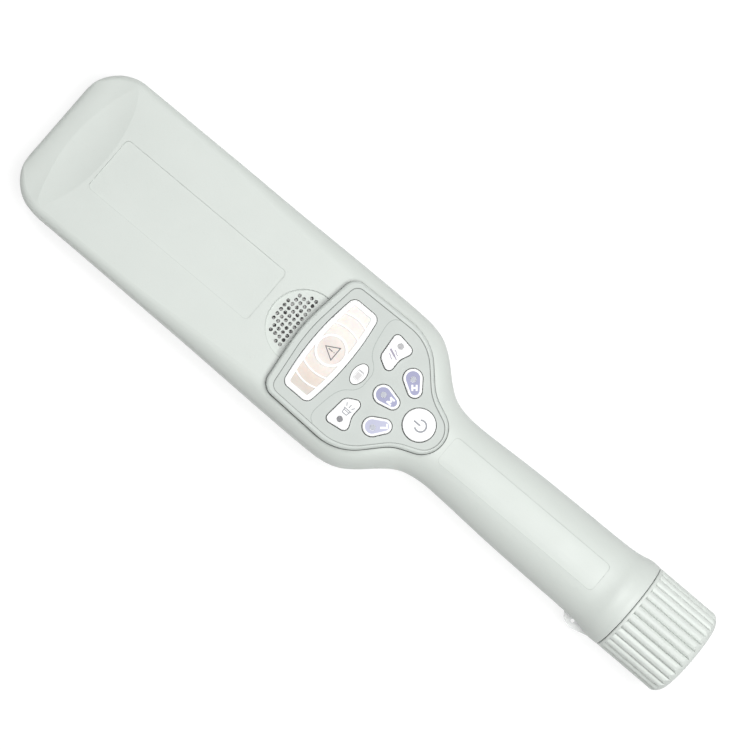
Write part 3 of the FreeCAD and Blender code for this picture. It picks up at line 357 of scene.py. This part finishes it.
def printed(name, colour):
    """Pad-printed ink: slightly uneven, softly glossy."""
    made = Recipe(name)
    made.colour(made.blend(made.noise(0.6 * MM, 4.0), scaled(colour, 0.9), scaled(colour, 1.1)))
    made.roughness(made.remap(made.noise(1.5 * MM, 3.0), 0.3, 0.7, 0.27, 0.43))
    made.bump(made.noise(0.25 * MM, 2.0), 0.004 * MM)
    return made.material


INK_GREY = printed("ink_grey", (0.22, 0.23, 0.26))
INK_DARK = printed("ink_dark", (0.05, 0.05, 0.07))
INK_WHITE = printed("ink_white", (0.92, 0.92, 0.93))
INK_PALE = printed("ink_pale", (0.60, 0.59, 0.59))
INK_VIOLET = printed("ink_violet", (0.30, 0.27, 0.36))
INK_SOFT = printed("ink_soft", (0.42, 0.42, 0.43))
INK_LINE = printed("ink_line", (0.36, 0.40, 0.375))

# How far each stroke stands above the last, so that crossing strokes share no face.
STROKE_STEP = 0.012 * MM
# How deep a stroke's underside is let into the face it is printed on.
INK_SINK = 0.05 * MM


def ribbon(mesh, points, width, low, high, closed=False):
    """A flat stroke of even width through 2D points, its corners mitred and its top at high."""
    count = len(points)
    rims = []
    for number, point in enumerate(points):
        before = points[number - 1] if number or closed else None
        after = points[(number + 1) % count] if number < count - 1 or closed else None
        back = (point - before).normalized() if before is not None else None
        ahead = (after - point).normalized() if after is not None else None
        along = ((back or ahead) + (ahead or back)).normalized()
        side = Vector((-along.y, along.x))
        lean = max(abs((ahead or back).dot(along)), 0.5)
        reach = side * (width / 2 / lean)
        rims.append([mesh.verts.new((*(point + reach * sign), height))
                     for height in (high, low) for sign in (1, -1)])
    spans = list(zip(rims, rims[1:] + rims[:1])) if closed else list(zip(rims, rims[1:]))
    for near, far in spans:
        for one, two in ((0, 1), (1, 3), (3, 2), (2, 0)):
            mesh.faces.new((near[one], near[two], far[two], far[one]))
    if not closed:
        mesh.faces.new([rims[0][n] for n in (0, 2, 3, 1)])
        mesh.faces.new([rims[-1][n] for n in (0, 1, 3, 2)])


def mark(name, strokes, node, body, ink, rise=0.06 * MM):
    """Strokes of ink on top of a node: each is (points, width), or (points, width, True) if closed."""
    face = top_of(node)
    mesh = bmesh.new()
    for number, (points, width, *closed) in enumerate(strokes):
        top = face + rise + number * STROKE_STEP
        ribbon(mesh, [Vector(p) for p in points], width, face - INK_SINK, top, bool(closed))
    bmesh.ops.recalc_face_normals(mesh, faces=mesh.faces)
    data = bpy.data.meshes.new(name)
    mesh.to_mesh(data)
    mesh.free()
    piece = bpy.data.objects.new(name, data)
    bpy.context.scene.collection.objects.link(piece)
    data.materials.append(ink)
    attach(piece, body)


def placed(strokes, origin, up, size):
    """Strokes drawn with y up in units of size, moved to the origin with their top toward up."""
    up = Vector(up).normalized()
    right = Vector((up.y, -up.x))
    out = []
    for points, width, *closed in strokes:
        moved = [Vector(origin) + right * (x * size) + up * (y * size) for x, y in points]
        out.append((moved, width * size, *closed))
    return out


def around(spot, strokes):
    """Strokes drawn in millimetres along the wand's own axes, moved to a spot."""
    return [([spot + Vector(p) * MM for p in points], width * MM, *closed)
            for points, width, *closed in strokes]


def mirrored(strokes):
    """Strokes with x turned about."""
    return [([(-x, y) for x, y in points], width) for points, width in strokes]


# Bold sans letters in millimetres, y up.
LETTERS = {
    "H": [([(-1.05, -1.5), (-1.05, 1.5)], 0.95), ([(1.05, -1.5), (1.05, 1.5)], 0.95),
          ([(-1.05, 0.0), (1.05, 0.0)], 0.88)],
    "M": [([(-1.35, -1.42), (-1.35, 1.42)], 0.90), ([(1.35, -1.42), (1.35, 1.42)], 0.90),
          ([(-1.30, 1.15), (0.0, -0.60)], 0.80), ([(0.0, -0.60), (1.30, 1.15)], 0.80)],
    "L": [([(-0.55, 1.85), (-0.55, -1.95)], 1.00), ([(-1.05, -1.55), (1.45, -1.55)], 0.85)],
}


def sensitivity_letters():
    """A white letter in each coloured inlay, by its offset from the lamp and its up direction."""
    for key, letter, offset, up in (("high", "H", (-3.05, 2.80), (0.643, -0.766)),
                                    ("medium", "M", (-4.60, 0.20), (0.999, -0.047)),
                                    ("low", "L", (-3.95, -3.85), (0.765, 0.644))):
        spot = centre_of("lens_" + key).xy + Vector(offset) * MM
        mark("letter_" + letter, placed(LETTERS[letter], spot, up, MM), "inlay_" + key,
             "key_%s_cap" % key, INK_WHITE)


def power_symbol():
    """An open ring with a bar in its gap."""
    spot = centre_of("key_power").xy - Vector((0.8 * MM, 0))
    radius, half_sweep, steps, width = 2.9, 128, 24, 0.8
    turns = [math.radians(-half_sweep + 2 * half_sweep * n / steps) for n in range(steps + 1)]
    ring = ([(-radius * math.sin(turn), -radius * math.cos(turn)) for turn in turns], width)
    bar = ([(0, 0.2), (0, 4.1)], width)
    mark("power_symbol", placed([ring, bar], spot, (1, 0), MM), "key_power", "key_power_cap",
         INK_GREY)


def side_symbols():
    """Vibration strokes on one side key and a sounding siren on the other."""
    shake = [([(-3.1, 4.1), (1.0, 5.7)], 1.0), ([(1.0, 5.7), (2.6, 6.4)], 0.55),
             ([(-1.2, 3.1), (0.1, 3.5), (0.5, 4.1), (1.9, 4.6)], 0.42),
             ([(-2.2, 6.2), (-0.8, 6.6), (-0.3, 7.2), (0.9, 7.6)], 0.42)]
    siren = [([(-2.1, -5.9), (2.4, -5.9)], 0.45),
             ([(-1.6, -5.8), (-1.3, -3.4), (1.3, -3.4), (1.8, -5.8)], 0.42),
             ([(-1.3, -5.0), (1.5, -5.0)], 0.40), ([(-2.5, -8.6), (-1.4, -7.1)], 0.42),
             ([(0.0, -8.9), (0.0, -6.9)], 0.42), ([(2.5, -8.6), (1.4, -7.2)], 0.42)]
    for name, key, sign, ink in (("vibration_symbol", "vibrate", shake, INK_VIOLET),
                                 ("siren_symbol", "alarm", siren, INK_GREY)):
        strokes = around(centre_of("lens_" + key).xy, mirrored(sign))
        mark(name, strokes, "key_" + key, "key_%s_cap" % key, ink)


def window_symbols():
    """The warning triangle in the round window and the cell sign in the battery window."""
    triangle = [([(3.5, 0.0), (-2.9, 3.7), (-2.9, -3.7)], 0.42, True),
                ([(1.6, 0.0), (-0.9, 0.0)], 0.45), ([(-1.6, 0.0), (-2.05, 0.0)], 0.45)]
    # A charge block inside a thin outline, with the terminal's bar at one end.
    block = [([(-0.2, -0.7), (-0.2, 2.7)], 2.6)]
    outline = [([(-1.9, -1.3), (1.5, -1.3), (1.5, 3.1), (-1.9, 3.1)], 0.16, True),
               ([(-1.6, -1.75), (1.4, -1.75)], 0.50)]
    for name, sign, node, ink in (("warning_triangle", triangle, "warning_window", INK_DARK),
                                  ("cell_symbol_block", block, "battery_window", INK_PALE),
                                  ("cell_symbol_outline", outline, "battery_window", INK_SOFT)):
        mark(name, around(centre_of(node).xy, sign), node, "case", ink)


def smooth_path(points, steps=8):
    """Catmull-Rom points through a few given ones."""
    points = [Vector(p) for p in points]
    ends = [2 * points[0] - points[1]] + points + [2 * points[-1] - points[-2]]
    out = []
    for a, b, c, d in zip(ends, ends[1:], ends[2:], ends[3:]):
        for n in range(steps):
            s = n / steps
            out.append(0.5 * (2 * b + (c - a) * s + (2 * a - 5 * b + 4 * c - d) * s * s
                              + (3 * b - a - 3 * c + d) * s ** 3))
    return out + [points[-1]]


def field_line():
    """The printed line that parts the display's half of the plate from the keys' half."""
    # Half of the line in millimetres from the battery window, from the middle outward.
    half = [(-5.1, 0.0), (-4.9, 4.2), (-2.9, 7.6), (0.9, 10.9), (3.3, 15.5), (4.7, 22.5), (5.3, 28.0),
            (4.2, 31.3), (1.8, 33.0)]
    points = [(x, -y) for x, y in reversed(half[1:])] + half
    strokes = around(centre_of("battery_window").xy, [(smooth_path(points), 0.32)])
    mark("field_line", strokes, "keypad_plate", "case", INK_LINE, rise=0.03 * MM)


sensitivity_letters()
power_symbol()
side_symbols()
window_symbols()
field_line()


# ---------------------------------------------------------------- floor, lights, camera

def floor():
    """A flat floor just under the wand: grey by itself, and glowing enough to read as white."""
    made = Recipe("floor")
    made.colour(made.blend(made.noise(0.3, 2.0), (0.29, 0.29, 0.29), (0.31, 0.31, 0.31)))
    made.roughness(made.remap(made.noise(0.05, 2.0), 0.3, 0.7, 0.75, 0.85))
    made.shader.inputs["Emission Color"].default_value = (1, 1, 1, 1)
    made.shader.inputs["Emission Strength"].default_value = 0.74
    mesh = bmesh.new()
    bmesh.ops.create_grid(mesh, x_segments=8, y_segments=8, size=15.0)
    data = bpy.data.meshes.new("floor")
    mesh.to_mesh(data)
    mesh.free()
    data.materials.append(made.material)
    piece = bpy.data.objects.new("floor", data)
    piece.location.z = cad_low.z - 0.2 * MM
    bpy.context.scene.collection.objects.link(piece)


def softbox(name, place, size, watts):
    """A square studio light aimed at the wand's middle."""
    data = bpy.data.lights.new(name, "AREA")
    data.shape = "SQUARE"
    data.size = size
    data.energy = watts
    lamp = bpy.data.objects.new(name, data)
    lamp.location = place
    aim = (Vector((0, 0, 0)) - Vector(place)).to_track_quat("-Z", "Y")
    lamp.rotation_euler = aim.to_euler()
    bpy.context.scene.collection.objects.link(lamp)


def room_light(strength):
    """Faint even light from all round."""
    world = bpy.data.worlds.new("studio")
    world.use_nodes = True
    world.node_tree.nodes["Background"].inputs["Color"].default_value = (1, 1, 1, 1)
    world.node_tree.nodes["Background"].inputs["Strength"].default_value = strength
    bpy.context.scene.world = world


def camera(place, aim, roll, focal):
    """A long-lens camera looking at aim; roll turns the picture about the line of sight."""
    data = bpy.data.cameras.new("camera")
    data.sensor_width = 36.0
    data.lens = focal
    data.clip_start = 0.01
    view = bpy.data.objects.new("camera", data)
    back = (Vector(place) - Vector(aim)).normalized()
    level = Vector((math.cos(roll), math.sin(roll), 0))
    right = (level - back * level.dot(back)).normalized()
    up = back.cross(right)
    turn = Matrix((right, up, back)).transposed()
    view.matrix_world = Matrix.Translation(place) @ turn.to_4x4()
    bpy.context.scene.collection.objects.link(view)
    bpy.context.scene.camera = view


floor()
softbox("key_light", place=(0.70, -0.30, 1.25), size=0.40, watts=6.0)
softbox("fill_light", place=(-0.42, -0.07, 1.30), size=0.9, watts=19.0)
room_light(strength=0.05)
camera(place=(-0.0195, 0.0813, 1.3082), aim=(0.0035, -0.0075, 0.0), roll=math.radians(220.43),
       focal=125.2)
bpy.context.scene.view_settings.view_transform = "Standard"
